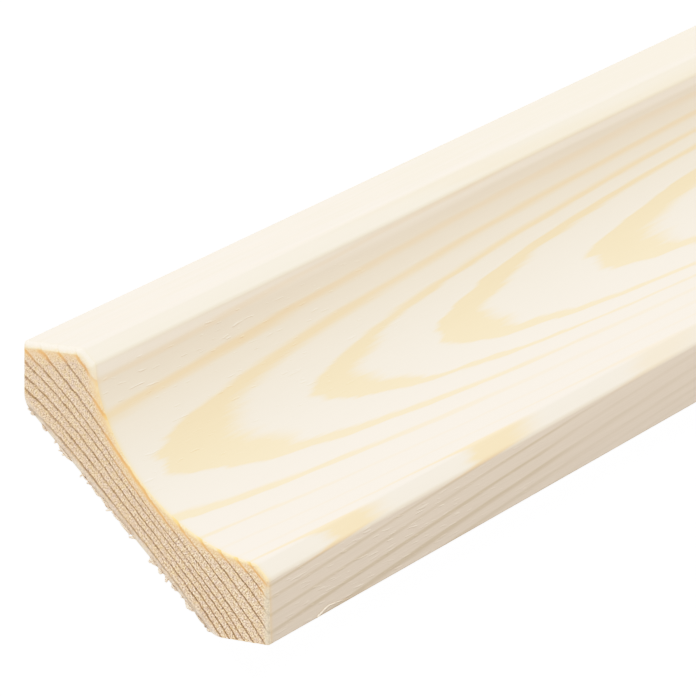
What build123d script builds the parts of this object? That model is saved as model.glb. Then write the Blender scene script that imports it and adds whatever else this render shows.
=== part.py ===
import os

from build123d import *

os.makedirs("parts", exist_ok=True)

# Scotia moulding: one length of planed softwood with a hollow face, for the
# corner between two surfaces. It lies on its wide relief back, at Z = 0, and
# runs along X, with its middle over the origin. The hollow looks straight up.

length = 2400
leg = 34  # face width on each of the two surfaces that the moulding joins
edge_thickness = 7.9  # each square edge, from the nosing arris to the back
thickness = 11.5  # from the back to the two flat crowns beside the hollow
throat = 6.0  # wood left between the deepest line of the hollow and the back
cove_radius = 25.0
crown_radius = 1.0  # on both sides of each crown
arris_radius = 0.4  # between each nosing and its square edge
back_corner_radius = 2.8  # between each square edge and the relief back

# Both legs stand at 45 degrees to the back, so a size along a leg or an edge
# runs as far across the section as it rises.
diagonal = 2**0.5
nosing_y = leg / diagonal
nosing_z = edge_thickness / diagonal
back_y = nosing_y - nosing_z
crown_y = nosing_y + nosing_z - thickness

# The cutter that planes the hollow is a circle, with its centre over the
# deepest line.
cove_center_z = throat + cove_radius

with BuildPart() as scotia_moulding:
    with BuildSketch(Plane.YZ.offset(-length / 2)) as section:
        # The triangular blank, with its square corner cut back to the relief
        # face and its two long corners cut square to the legs. The crowns are
        # what the hollow leaves of its wide side.
        with BuildLine():
            Polyline(
                (-back_y, 0),
                (back_y, 0),
                (nosing_y, nosing_z),
                (crown_y, thickness),
                (-crown_y, thickness),
                (-nosing_y, nosing_z),
                close=True,
            )
        make_face()
        with Locations((0, cove_center_z)):
            Circle(cove_radius, mode=Mode.SUBTRACT)

        # The four corners of the crowns are the highest, the corners of the
        # back the lowest and the nosing arrises the widest.
        fillet(section.vertices().group_by(Axis.Y)[-1], radius=crown_radius)
        fillet(section.vertices().group_by(Axis.Y)[0], radius=back_corner_radius)
        arrises = section.vertices().group_by(Axis.X)
        fillet(arrises[0] + arrises[-1], radius=arris_radius)
    extrude(amount=length)

scotia_moulding.part.label = "scotia_moulding"
export_step(scotia_moulding.part, "parts/scotia_moulding.step")
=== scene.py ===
import random
from math import atan2, cos, pi, radians, sin, sqrt

import bmesh
import bpy
from mathutils import Matrix, Quaternion, Vector


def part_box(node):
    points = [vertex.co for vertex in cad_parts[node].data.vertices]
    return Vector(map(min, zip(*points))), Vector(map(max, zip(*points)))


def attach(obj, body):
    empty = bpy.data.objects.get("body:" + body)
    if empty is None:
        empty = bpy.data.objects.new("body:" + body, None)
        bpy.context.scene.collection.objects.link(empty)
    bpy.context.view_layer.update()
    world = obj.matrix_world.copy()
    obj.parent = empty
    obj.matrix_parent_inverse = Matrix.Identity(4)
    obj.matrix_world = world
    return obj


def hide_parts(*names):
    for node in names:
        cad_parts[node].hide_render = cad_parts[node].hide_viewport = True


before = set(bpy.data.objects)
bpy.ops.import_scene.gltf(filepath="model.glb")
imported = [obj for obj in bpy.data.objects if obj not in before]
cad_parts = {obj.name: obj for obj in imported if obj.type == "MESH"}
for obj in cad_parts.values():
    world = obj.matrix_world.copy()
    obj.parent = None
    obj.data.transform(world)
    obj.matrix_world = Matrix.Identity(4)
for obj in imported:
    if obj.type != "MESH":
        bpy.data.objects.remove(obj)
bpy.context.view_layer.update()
scene = bpy.context.scene

# The place that the moulding is seen from: a long lens above and in front of
# its near end, turned so that the length runs up to the right. The end face
# shows on the left and the hollow opens towards the viewer.
looked_at = Vector((-1.14517, 0.00458, 0.006))
roll = radians(45.296)
camera = bpy.data.objects.new("camera", bpy.data.cameras.new("camera"))
scene.collection.objects.link(camera)
scene.camera = camera
camera.data.lens = 361.57
camera.data.clip_end = 10
camera.location = (-1.88591, -0.12281, 0.48493)
upright = (looked_at - camera.location).to_track_quat("-Z", "Y")
camera.rotation_mode = "QUATERNION"
camera.rotation_quaternion = upright @ Quaternion((0, 0, 1), roll)

# Pale things are lit brightly, and the picture rolls off towards white as a
# photograph does, so that the shaded faces keep more of the wood's colour.
white = 1.6
roll_off = ((0.3, 0.3), (0.6, 0.6), (0.8, 0.757), (1.0, 0.853), (1.2, 0.911), (1.4, 0.959))
display = scene.view_settings
display.view_transform = "Standard"
display.use_curve_mapping = True
display.curve_mapping.white_level = (white, white, white)
for light, shown in roll_off:
    display.curve_mapping.curves[3].points.new(light / white, shown)
display.curve_mapping.update()

# Soft studio light: one large softbox high on the far side, and a dim room with
# a pale wall all round. The hollow's wall on the far side and the nosing nearest
# the camera face away from the softbox, so they are the shaded ones.
wall_light, ceiling_light = 1.4, 0.27
wall_top, ceiling_edge = 0.05, 0.3  # sines of the angles above level that it changes between
softbox_tilt = radians(26)  # from straight above towards the far side


class Value:
    """The output of a node. Arithmetic on it adds Math nodes beside that node."""

    def __init__(self, tree, socket=None):
        self.tree = tree
        self.socket = socket

    def node(self, kind, inputs=None, output=0, stops=None, **settings):
        """Adds a node: first its settings and stops, then its sockets' values or links."""
        made = self.tree.nodes.new(kind)
        for name, value in settings.items():
            setattr(made, name, value)
        if stops:
            made.mapping.use_clip = False
            made.mapping.extend = "EXTRAPOLATED"
            line = made.mapping.curves[0]
            line.points[0].location, line.points[1].location = stops[0], stops[-1]
            for stop in stops[1:-1]:
                line.points.new(*stop)
            for stop in line.points:
                stop.handle_type = "VECTOR"
            made.mapping.update()
        for name, value in (inputs or {}).items():
            if isinstance(value, Value):
                self.tree.links.new(value.socket, made.inputs[name])
            else:
                made.inputs[name].default_value = value
        return Value(self.tree, made.outputs[output])

    def feed(self, shader, name):
        """Links this to one of a shader's sockets."""
        self.tree.links.new(self.socket, shader.inputs[name])

    def parts(self):
        """The X, Y and Z of a place or direction."""
        outputs = self.node("ShaderNodeSeparateXYZ", {0: self}).socket.node.outputs
        return [Value(self.tree, part) for part in outputs]

    def math(self, operation, *others):
        """One Math node, on this and up to two other values."""
        return self.node(
            "ShaderNodeMath", dict(enumerate((self, *others))), operation=operation
        )

    def __add__(self, other):
        return self.math("ADD", other)

    def __sub__(self, other):
        return self.math("SUBTRACT", other)

    def __rsub__(self, other):
        return self.node("ShaderNodeMath", {0: other, 1: self}, operation="SUBTRACT")

    def __mul__(self, other):
        return self.math("MULTIPLY", other)

    def __truediv__(self, other):
        return self.math("DIVIDE", other)

    def __pow__(self, other):
        return self.math("POWER", other)

    __radd__ = __add__
    __rmul__ = __mul__

    def fade(self, low, high, at_low=0.0, at_high=1.0):
        """0 at low and 1 at high, or the two values given, with soft ends."""
        return self.node(
            "ShaderNodeMapRange",
            {
                "Value": self,
                "From Min": low,
                "From Max": high,
                "To Min": at_low,
                "To Max": at_high,
            },
            interpolation_type="SMOOTHSTEP",
        )

    def drawn(self, points, start, span):
        """Reads a line drawn through points, on a ruler that begins at start and is span long."""
        return self.node(
            "ShaderNodeFloatCurve",
            {"Value": (self - start) / span},
            stops=[((at - start) / span, value) for at, value in points],
        )

    def stretched(self, x, y, z):
        """A place with its three lengths scaled, for a pattern that is longer one way."""
        return self.node("ShaderNodeVectorMath", {0: self, 1: (x, y, z)}, operation="MULTIPLY")

    def noise(self, scale, detail=2.0, rough=0.5):
        """A cloudy pattern around 0, mostly between -0.5 and 0.5."""
        return self.node(
            "ShaderNodeTexNoise",
            {"Vector": self, "Scale": scale, "Detail": detail, "Roughness": rough},
        ) - 0.5

    def mix(self, first, second):
        """The first colour where this is 0 and the second where it is 1."""
        return self.node(
            "ShaderNodeMix", {0: self, 6: first, 7: second}, output=2, data_type="RGBA"
        )

    def tinted(self, tint):
        """This colour multiplied by another."""
        return self.node(
            "ShaderNodeMix",
            {0: 1.0, 6: self, 7: tint},
            output=2,
            data_type="RGBA",
            blend_type="MULTIPLY",
        )

    def bump(self, distance):
        """This height as relief. A height of 1 stands out by distance."""
        return self.node(
            "ShaderNodeBump", {"Height": self, "Strength": 1.0, "Distance": distance}
        )


room = bpy.data.worlds.new("room")
scene.world = room
room.use_nodes = True
background = room.node_tree.nodes["Background"]
background.inputs["Color"].default_value = (1, 1, 1, 1)
direction = Value(room.node_tree).node("ShaderNodeTexCoord", output="Generated")
upward = direction.parts()[2]
upward.fade(wall_top, ceiling_edge, wall_light, ceiling_light).feed(background, "Strength")

softbox = bpy.data.objects.new("softbox", bpy.data.lights.new("softbox", "SUN"))
scene.collection.objects.link(softbox)
softbox.data.energy = 1.66 * pi
softbox.data.angle = radians(40)
softbox_side = Vector((0, sin(softbox_tilt), cos(softbox_tilt)))
softbox.rotation_mode = "QUATERNION"
softbox.rotation_quaternion = softbox_side.to_track_quat("Z", "Y")

# The sheet of pale acrylic that the moulding lies on, lit evenly from below.
# It reaches far past the picture on every side.
sheet_reach = 60
sheet_mesh = bmesh.new()
bmesh.ops.create_grid(sheet_mesh, x_segments=1, y_segments=1, size=sheet_reach)
sheet = bpy.data.objects.new("pale sheet", bpy.data.meshes.new("pale sheet"))
sheet_mesh.to_mesh(sheet.data)
sheet_mesh.free()
scene.collection.objects.link(sheet)
acrylic = bpy.data.materials.new("pale acrylic")
acrylic.use_nodes = True
surface = acrylic.node_tree.nodes["Principled BSDF"].inputs
surface["Base Color"].default_value = (0.05, 0.05, 0.05, 1)
surface["Roughness"].default_value = 1
surface["Specular IOR Level"].default_value = 0
surface["Emission Color"].default_value = (1, 1, 1, 1)
surface["Emission Strength"].default_value = 1.56
sheet.data.materials.append(acrylic)

# The moulding: one length of planed pine, run through a four-sided moulder.
# A round-nosed cutter takes the hollow out of its wide side, and leaves a narrow
# flat crown on each side of it. The nosings, edges and relief back are flat too.
mm = 0.001
leg = 34 * mm
edge_thickness = 7.9 * mm
thickness = 11.5 * mm
throat = 6 * mm
cove_radius = 25 * mm
crown_radius = 1 * mm
arris_radius = 0.4 * mm
back_corner_radius = 2.8 * mm
near, far = (corner.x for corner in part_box("scotia_moulding"))

# Both legs stand at 45 degrees to the back. The centres of the curves follow
# from that, each at its radius from the two lines that it joins.
slant = sqrt(0.5)
nosing_y, nosing_z = leg / sqrt(2), edge_thickness / sqrt(2)
cove_z = throat + cove_radius
crown_z = thickness - crown_radius
crown_y = sqrt((cove_radius + crown_radius) ** 2 - (cove_z - crown_z) ** 2)
cove_turn = atan2(crown_y, cove_z - crown_z)
outer_y = nosing_y + nosing_z - crown_radius * sqrt(2) - crown_z
arris_y = nosing_y - arris_radius * sqrt(2)
corner_y = nosing_y - nosing_z + back_corner_radius * (1 - sqrt(2))


def curve(point, y, z, angle, steps):
    """Carries the section's line on round a centre, and returns its last point."""
    made = bmesh.ops.spin(
        wood, geom=[point], cent=(near, y, z), axis=(1, 0, 0), angle=angle, steps=steps
    )
    return made["geom_last"][0]


def straight(point, y, z):
    """Carries the section's line straight on to a new point, and returns it."""
    made = bmesh.ops.extrude_vert_indiv(wood, verts=[point])["verts"][0]
    made.co = (near, y, z)
    return made


# Half of the section is drawn, from the deepest line of the hollow out over the
# crown and the nosing to the back, and mirrored. The closed section is then
# pulled along the whole length. Its side at -Y, nearest the camera, is called
# low from here on, and the one at +Y high.
wood = bmesh.new()
point = wood.verts.new((near, 0, throat))
point = curve(point, 0, cove_z, cove_turn, steps=28)
point = curve(point, crown_y, crown_z, -cove_turn, steps=6)
point = straight(point, outer_y, thickness)
point = curve(point, outer_y, crown_z, -pi / 4, steps=6)
point = straight(point, arris_y + arris_radius * slant, nosing_z + arris_radius * slant)
point = curve(point, arris_y, nosing_z, -pi / 2, steps=6)
point = straight(
    point, corner_y + back_corner_radius * slant, back_corner_radius * (1 - slant)
)
point = curve(point, corner_y, back_corner_radius, -pi / 4, steps=5)
bmesh.ops.mirror(
    wood,
    geom=wood.verts[:] + wood.edges[:],
    matrix=Matrix.Identity(4),
    merge_dist=1e-6,
    axis="Y",
)
wood.edges.new([v for v in wood.verts if len(v.link_edges) == 1])
near_face = bmesh.ops.contextual_create(wood, geom=wood.edges[:])["faces"][0]
pulled = bmesh.ops.extrude_face_region(wood, geom=[near_face])["geom"]
bmesh.ops.translate(
    wood,
    verts=[v for v in pulled if isinstance(v, bmesh.types.BMVert)],
    vec=(far - near, 0, 0),
)
bmesh.ops.recalc_face_normals(wood, faces=wood.faces[:])

# The sawn ends: cut square across, with a soft, slightly worn rim all round.
# The long faces are planed, and everything that the saw left is rough.
planed, sawn = 0, 1  # the two finishes' places in the moulding's list of materials
rim_width = 0.3 * mm
rims = [edge for edge in wood.edges if abs(edge.verts[0].co.x - edge.verts[1].co.x) < mm]
bmesh.ops.bevel(
    wood, geom=rims, offset=rim_width, segments=3, profile=0.5, affect="EDGES", material=-1
)
for face in wood.faces:
    along = [v.co.x for v in face.verts]
    run = max(along) - min(along)
    face.smooth = run > 0.01 * mm  # all but the two flat ends
    face.material_index = planed if run > mm else sawn
for edge in wood.edges:
    edge.smooth = len({face.material_index for face in edge.link_faces}) == 1

# The high side of the near end is worn rounder than the rest: its rim goes
# wider, both along the length and down towards the heart of the wood below the
# high crown. The wear comes in gradually from the hollow and from the back.
heart = Vector((near, 15.5 * mm, 3 * mm))
worn_down = 0.055  # of the way to the heart
worn_along = 0.4 * mm


def share(size, start, span):
    """0 up to start, 1 from span past it, and in proportion between the two."""
    return min(max((size - start) / span, 0), 1)


for v in wood.verts:
    into = (v.co.x - near) / rim_width
    wear = share(v.co.y, 13 * mm, 3 * mm) * share(v.co.z, 1.5 * mm, 3 * mm)
    if into < 1.01 and wear:  # the rim's own points, on the high side
        v.co += (heart - v.co) * Vector((0, 1, 1)) * worn_down * wear * (1 - into)
        v.co.x += worn_along * wear * into

# Torn fibre along the bottom of the near end, where the blade came out: broad
# low flaps, long tufts in small groups, and short tufts between them. Each has
# its root inside the wood and stays clear of the sheet.
chance = random.Random(11)
flap, long_tuft, short_tuft = (0.45, 7), (0.7, 2.2), (0.4, 2.2)  # mm out, and how broad
root_depth = 0.5 * mm
clearance = 0.01 * mm


def fibre(root, tip, length, matrix):
    """Adds one closed, tapered, six-sided fibre, and returns its points."""
    made = bmesh.ops.create_cone(
        wood,
        cap_ends=True,
        segments=6,
        radius1=root,
        radius2=tip,
        depth=length,
        matrix=matrix,
    )
    return made["verts"]


torn = [(chance.uniform(-17, 17), *flap) for _ in range(16)]
torn += [(y, *long_tuft) for y in (10.9, 10.3, 7.1, 2.4, 1.6, 0.7)]
torn += [(y, *long_tuft) for y in (-1.7, -2.8, -6.4, -7.1, -8.2, -9.4, -10.6)]
torn += [(chance.uniform(-18, 18), *short_tuft) for _ in range(20)]
for y, out, broad in torn:
    out = out * chance.uniform(0.5, 1.25) * mm
    size = chance.uniform(0.1, 0.2) * mm
    droop = Matrix.Rotation(-pi / 2 + chance.uniform(-0.1, 0.3), 4, "Y")
    turn = Matrix.Rotation(chance.uniform(-0.5, 0.5), 4, "X")
    spread = Matrix.Diagonal((0.7, broad * chance.uniform(0.7, 1.3), 1, 1))
    middle = Matrix.Translation((near + (root_depth - out) / 2, y * mm, size * 0.8))
    points = fibre(size, size * 0.5, out + root_depth, middle @ droop @ turn @ spread)
    for v in points:
        v.co.z = max(v.co.z, clearance)
    for face in {face for v in points for face in v.link_faces}:
        face.material_index = sawn

# One long fibre has lifted off the low nosing, close to its arris. It lies along
# the nosing in three runs, each thinner than the one before.
lifted_line = ((11.4, 23.85), (14.1, 23.38), (16.0, 23.47), (19.0, 23.72))  # mm along, across
lifted_radii = (0.12, 0.09, 0.05)
lifted = [
    Vector((near + along * mm, -across * mm, nosing_y + nosing_z - across * mm))
    for along, across in lifted_line
]
for start, stop, radius in zip(lifted, lifted[1:], lifted_radii):
    gap = stop - start
    lie = gap.to_track_quat("Z", "Y").to_matrix().to_4x4()
    middle = Matrix.Translation((start + stop) / 2)
    fibre(radius * mm, radius * 0.8 * mm, gap.length, middle @ lie)

moulding = bpy.data.objects.new("moulding", bpy.data.meshes.new("moulding"))
wood.to_mesh(moulding.data)
wood.free()
scene.collection.objects.link(moulding)

# How the tree grew: in rings round a pith that lay below the back, each of pale
# earlywood that ends in a darker, harder band of latewood. The rings rise and
# sink along the length, so the hollow cuts them into pointed arches.

# ring_heights are the rings' outer edges over the middle of the back, at the
# near end, and latewood is the thickness of the band below each edge from the
# second one up. Both are in mm.
ring_heights = (1.19, 2.32, 3.23, 4.18, 4.88, 5.89, 7.12, 8.4, 9.72, 11.02, 12.09)
latewood = (0.4, 0.44, 0.41, 0.42, 0.6, 0.9, 0.5, 0.45, 0.45, 0.45, 0.4)
first_ring = 5  # so that the rings below the lowest edge have a number too
ruler_start, ruler_span = -5, 20


def growth(tree):
    """Where a point lies in the wood.

    Gives its x from the near end, y and z, in mm, and the same three as a place.
    Then come the number of its ring, and how many mm it lies below the ring's
    outer edge and above its inner one.
    """
    seen = Value(tree).node("ShaderNodeTexCoord", output="Object")
    place = seen.node(
        "ShaderNodeMapping",
        {"Vector": seen, "Location": (-near / mm, 0, 0), "Scale": (1 / mm, 1 / mm, 1 / mm)},
    )
    x, y, z = place.parts()

    # One long wave carries the rings up and down again. Across the section they
    # lean and bow, and their edges run out in ragged fingers.
    wave = 4.386 * (x / 160).math("SINE")
    up = z - 5
    swell = (x / 300).math("SINE")
    lean = 0.184 * swell - 0.0496 - 0.00908 * up
    bow = 0.00151 - 0.000478 * up
    fingers = place.node(
        "ShaderNodeTexNoise",
        {
            "Vector": place.stretched(0.03, 0.6, 0.6),
            "W": 5.1,
            "Scale": 1.0,
            "Detail": 3.0,
            "Roughness": 0.6,
        },
        noise_dimensions="4D",
    ) - 0.5
    height = z - wave + y * (lean + bow * y) + 0.357 * up * swell

    # Near the sawn end the rings ripple across the section, and under the low
    # crown they climb slowly along the length.
    ripple = 0.19 * (y / 5).math("COSINE") - (0.121 + 0.032 * up) * (y / 5).math("SINE")
    height = height + ripple * (x / -40).math("EXPONENT") + 0.34 * fingers
    height = height - 0.0026 * x * y.fade(-13, -17) * y.fade(-22, -19)

    # The rings are counted from the lowest edge up. The inner ones are about
    # 1 mm wide, and the outer ones 1.5 mm.
    edges = [
        (edge, (ring + first_ring) / ruler_span) for ring, edge in enumerate(ring_heights)
    ]
    count = height.drawn(edges, ruler_start, ruler_span) * ruler_span
    into = count.math("FRACT")
    width = 1.0 + 0.5 * height.fade(5.4, 6.6)
    return x, y, z, place, count - into, width * (1 - into), width * into


# The planed faces, unfinished: pale earlywood, and the latewood of each ring as
# a yellow band that starts softly and stops at a crisp line. The fades over y
# are zones of the section, from the low nosing at -24 mm to the high one at 24.
def planed_pine():
    hollow_pale, hollow_dark = (0.69, 0.572, 0.446, 1), (0.715, 0.505, 0.315, 1)
    low_nosing_shaded_pale, low_nosing_shaded_dark = (0.645, 0.537, 0.425, 1), (0.54, 0.43, 0.306, 1)
    low_crown_dark = (0.73, 0.492, 0.3, 1)
    high_crown_lit_pale, under_crown_painted_light = (0.73, 0.606, 0.453, 1), (0.78, 0.652, 0.53, 1)
    high_nosing_cream = (0.65, 0.53, 0.378, 1)
    end_glow_amber = (0.7, 0.47, 0.22, 1)
    duller, brighter = (0.965, 0.962, 0.952, 1), (1.035, 1.038, 1.048, 1)

    material = bpy.data.materials.new("planed pine")
    material.use_nodes = True
    shader = material.node_tree.nodes["Principled BSDF"]
    x, y, z, place, ring, below, above = growth(material.node_tree)
    low_nosing = y.fade(-17.7, -18.6)
    low_crown = y.fade(-14.5, -15.5) * (1 - low_nosing)
    high_crown = y.fade(15, 16) * y.fade(18.6, 17.6)
    # Where painted light lifts the shade on the hollow's wall under the high crown. It reaches
    # further down the wall near the end.
    under_crown = y.fade(13.7 + 0.6 * x.fade(70, 110), 14.9) * y.fade(15.9, 15.2)

    # The bands are thinner up both walls of the hollow, and thick on the low
    # crown, which cuts along the rings. They are softest high up and low down.
    streaks = place.stretched(0.05, 2.2, 2.2).noise(1, 3, 0.6)
    bands = [(number + first_ring, band) for number, band in enumerate(latewood)]
    thick = ring.drawn(bands, first_ring, 10) * (
        1 - 0.4 * y.fade(2, 7) - 0.5 * y.fade(-0.5, -5) + 0.8 * low_crown + 0.2 * low_nosing
    )
    soft = y.fade(4, 10) + low_crown * 0.9 + low_nosing * 0.8
    under_edge = (below + streaks * 0.2).fade(thick, (0.5 - 0.35 * soft) * thick)
    over_edge = (above + streaks * 0.12).fade(0.09 + 0.16 * soft, 0.0)
    late = under_edge.math("MAXIMUM", over_edge)

    # How strongly the bands show, at each place across the section: partly the
    # grain's own change, and partly painted light, for they are weakened on the low
    # wall of the hollow and on the high crown and nosing, where the light is brightest.
    low_half = (
        (-24, 0.9), (-19, 0.9), (-18, 1.3), (-15.5, 1.3), (-14, 0.35), (-11, 0.4),
        (-9.3, 0.8), (-7, 1.1), (-4, 1.2),
    )
    high_half = (
        (4, 1.2), (9, 0.95), (12, 0.8), (13.5, 0.4), (15.3, 0.35), (17, 0.3),
        (18.5, 0.25), (24, 0.25),
    )
    late = late * y.drawn(low_half + high_half, -25, 50) * (
        0.95 + 0.5 * place.stretched(0.02, 0.12, 0.12).noise(1, 1)
    )
    late = late * (1 + 2.0 * low_nosing * place.stretched(0.015, 0.45, 0.45).noise(1, 1))
    late = late * (1 - 0.65 * y.fade(-14, -16) * x.fade(66, 84))

    # Painted shade: the low nosing's pale and dark are darker than the hollow's, for the shade on
    # the face that turns away from the softbox. Its latewood is also duller because the nosing
    # cuts the rings at another angle.
    pale = low_nosing.mix(hollow_pale, low_nosing_shaded_pale)
    # Painted light: the wall just under the high crown is made lighter, to lift the shade that
    # falls there.
    pale = under_crown.mix(pale, under_crown_painted_light)
    # Painted light: the high crown, which is lit brightly, is made lighter than the hollow.
    pale = high_crown.mix(pale, high_crown_lit_pale)
    dark = low_nosing.mix(hollow_dark, low_nosing_shaded_dark)
    dark = low_crown.mix(dark, low_crown_dark)
    base = late.mix(pale, dark)

    # Fine grain everywhere, and flecks of raised grain near the sawn end.
    fine = place.stretched(0.06, 5.0, 5.0).noise(1, 3, 0.7)
    raised = place.stretched(0.35, 3.2, 3.2).noise(1, 1, 0.5)
    fleck = raised.fade(0.16 - 0.07 * low_nosing, 0.26) * x.fade(95, 25)
    fleck = fleck * ((1 - y.fade(14, 15)) * y.fade(-3, 1) + low_nosing)
    tint = (fine * (0.7 + 1.5 * low_nosing) + fleck * 0.8 + 0.5).mix(duller, brighter)
    base = base.tinted(tint)

    # The high nosing is creamier, and near the cut end the wood is painted amber: a glow standing
    # for light that shines through the thin edge.
    creamy = 0.5 + 0.6 * x.fade(20, 170) + 2.5 * streaks
    base = (y.fade(17, 20) * creamy).mix(base, high_nosing_cream)
    end = x.fade(1.6, 0.0) ** 1.6
    base = (end * 0.5).mix(base, end_glow_amber)

    base.feed(shader, "Base Color")
    (0.62 - 0.12 * late + 0.15 * fine).feed(shader, "Roughness")
    shader.inputs["Specular IOR Level"].default_value = 0.2
    (fine * 0.4 + late * 0.3 + fleck * 1.6).bump(0.02 * mm).feed(shader, "Normal")
    return material


# The sawn ends: open pores in a rough face, with the latewood of each ring as a
# thin dark line. A painted amber glow along the rim stands for light shining
# through the thin edge. The rim is paler at its worn high corner, partly as a
# painted highlight, and at its low corner.
def sawn_pine():
    earlywood, dark_line = (0.7, 0.51, 0.355, 1), (0.33, 0.21, 0.105, 1)
    pit, chip = (0.47, 0.455, 0.42, 1), (1.66, 1.69, 1.77, 1)
    yellower, rosier = (1.04, 1.01, 0.85, 1), (0.97, 0.985, 1.12, 1)
    torn_pale = (0.72, 0.63, 0.53, 1)
    glow_amber, deep_glow_amber = (0.92, 0.57, 0.31, 1), (0.85, 0.41, 0.14, 1)
    high_cream_and_highlight, low_cream = (0.84, 0.72, 0.55, 1), (0.735, 0.63, 0.475, 1)

    material = bpy.data.materials.new("sawn pine end")
    material.use_nodes = True
    shader = material.node_tree.nodes["Principled BSDF"]
    x, y, z, place, ring, below, above = growth(material.node_tree)

    # Each ring ends in a dark line, and many have a fainter one half way.
    ragged = place.noise(2.6, 2)
    line = (below + ragged * 0.22).fade(0.25, 0.05).math("MAXIMUM", above.fade(0.09, 0.02))
    broken = place.stretched(1, 0.6, 1.5).noise(1, 1)
    line = line * (0.85 + 0.9 * broken + 0.3 * y.fade(-8, -14))
    half_way = (below - above + ragged * 0.3).math("ABSOLUTE").fade(0.16, 0.04)
    line = line + half_way * (0.2 + place.stretched(1, 0.3, 0.8).noise(1, 1) * 0.9)
    base = line.mix(earlywood, dark_line)

    # Pits and chips that the saw left, and slow changes of hue. Along the back,
    # and where fibre sticks out of the end, it is torn and pale.
    speck = place.noise(5, 2, 0.9)
    cloud = place.noise(0.9, 2)
    hue = place.stretched(1, 1, 1.3).noise(1.9, 1)
    base = base.tinted((speck * (2.9 + 1.3 * y.fade(4, -14)) + 0.48).mix(pit, chip))
    base = base.tinted((cloud + hue * 1.6 + 0.5).mix(yellower, rosier))
    worn = (z + speck * 1.5).fade(1.1, 0.3).math("MAXIMUM", x.fade(0, -0.3))
    base = (worn * 0.7).mix(base, torn_pale)

    # The amber rim is painted glow, for light shining through the thin edge. It is
    # measured from the nearest of the hollow, the nosings and the crowns, in mm. It is
    # patchy, and deepest in the latewood.
    over = z - cove_z / mm
    cove = (y * y + over * over).math("SQRT") - cove_radius / mm
    nosing = ((nosing_y + nosing_z) / mm - z - y.math("ABSOLUTE")) * slant
    rim = cove.math("MINIMUM", nosing.math("MINIMUM", thickness / mm - z))
    high_nosing = y.fade(16, 20)
    not_low_nosing = y.fade(-20, -18)
    patchy = place.stretched(0.5, 0.5, 0.5).noise(1, 1)
    glow = (rim + speck * 0.5 + patchy * 1.2).fade(1.7 + 1.1 * high_nosing, 0.0)
    glow = glow * not_low_nosing * (0.85 + 1.2 * patchy)
    base = glow.mix(base, glow_amber)
    # Deeper painted glow where the latewood meets the rim.
    late_band = (below + ragged * 0.2).fade(0.45, 0.1).math("MAXIMUM", above.fade(0.15, 0.0))
    ember = late_band * (rim + ragged * 0.6 + patchy * 1.5).fade(1.7 + 1.8 * high_nosing, 0.3)
    base = (ember * not_low_nosing * 0.75).mix(base, deep_glow_amber)
    # Paler near the rim at the high corner, where the end is worn and the pale is partly a
    # painted highlight on the worn edge, and paler near the rim at the low corner.
    cream = (rim + ragged * 0.5 + speck * 0.5).fade(1.0, 0.2)
    base = (cream * y.fade(12.5, 16.5) * 0.9).mix(base, high_cream_and_highlight)
    base = (cream * y.fade(-17.5, -19.5) * 0.75).mix(base, low_cream)

    base.feed(shader, "Base Color")
    shader.inputs["Roughness"].default_value = 0.85
    shader.inputs["Specular IOR Level"].default_value = 0.1
    (speck * 1.0 - line * 0.4).bump(0.1 * mm).feed(shader, "Normal")
    return material


moulding.data.materials.append(planed_pine())
moulding.data.materials.append(sawn_pine())
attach(moulding, "root")
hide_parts("scotia_moulding")
